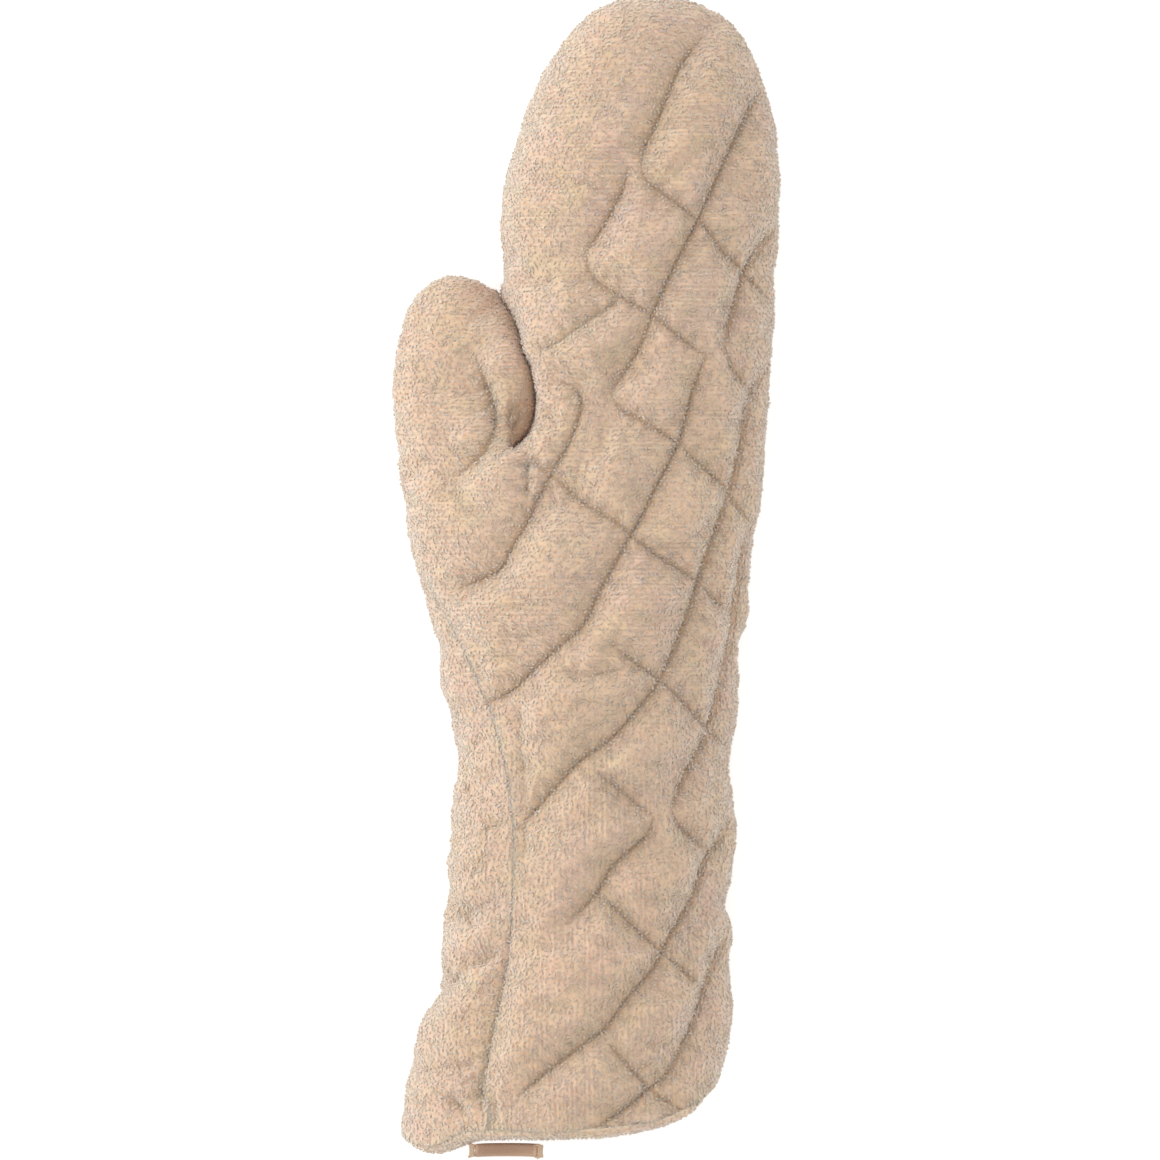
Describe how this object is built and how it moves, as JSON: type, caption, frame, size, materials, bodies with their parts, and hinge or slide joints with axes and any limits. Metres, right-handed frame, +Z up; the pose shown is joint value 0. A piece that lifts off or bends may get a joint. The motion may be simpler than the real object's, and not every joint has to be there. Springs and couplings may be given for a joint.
{
  "type": "terry oven mitt",
  "caption": "Long-cuffed quilted terry oven mitt with a thumb, a lined and padded hand cavity, a hemmed cuff mouth and a swinging hanging loop at the hem.",
  "frame": {"origin": "on the table, below the middle of the mitt's bounding box", "axes": "+Y from the cuff towards the fingertips, +X away from the thumb across the hand, +Z up from the table towards the pictured face"},
  "size_m": [0.1422, 0.4314, 0.0744],
  "materials": {
    "front_terry_panel": "looped cotton terry, natural beige",
    "front_batting": "felted cotton wadding, off-white",
    "front_lining": "plain-woven cotton, natural",
    "rear_terry_panel": "looped cotton terry, natural beige",
    "rear_batting": "felted cotton wadding, off-white",
    "rear_lining": "plain-woven cotton, natural",
    "cuff_hem": "looped cotton terry turned over the cuff's edge",
    "thread": "spun cotton sewing thread, beige",
    "hanging_loop": "woven cotton twill tape, peach beige"
  },
  "bodies": {
    "mitt": {"front_terry_panel": "front_terry_panel", "front_batting": "front_batting", "front_lining": "front_lining", "rear_terry_panel": "rear_terry_panel", "rear_batting": "rear_batting", "rear_lining": "rear_lining", "cuff_hem": "cuff_hem", "hem_thread": "thread", "side_seam_thread": "thread", "loop_bartack_left": "thread", "loop_bartack_right": "thread", "front_quilting_thread_01": "thread", "front_quilting_thread_02": "thread", "front_quilting_thread_03": "thread", "front_quilting_thread_04": "thread", "front_quilting_thread_05": "thread", "front_quilting_thread_06": "thread", "front_quilting_thread_07": "thread", "front_quilting_thread_08": "thread", "cuff_side_quilting_thread_01": "thread", "rear_quilting_thread_01": "thread", "rear_quilting_thread_02": "thread", "rear_quilting_thread_03": "thread", "rear_quilting_thread_04": "thread", "rear_quilting_thread_05": "thread", "rear_quilting_thread_06": "thread"},
    "hanging_loop": {"hanging_loop": "hanging_loop"}
  },
  "joints": [
    {"name": "loop_swing", "type": "hinge", "parent": "mitt", "child": "hanging_loop", "pos_m": [-0.02594, -0.21317, 0.06402], "axis": [-0.9451, 0, -0.3267], "range_deg": [0, 170]}
  ]
}
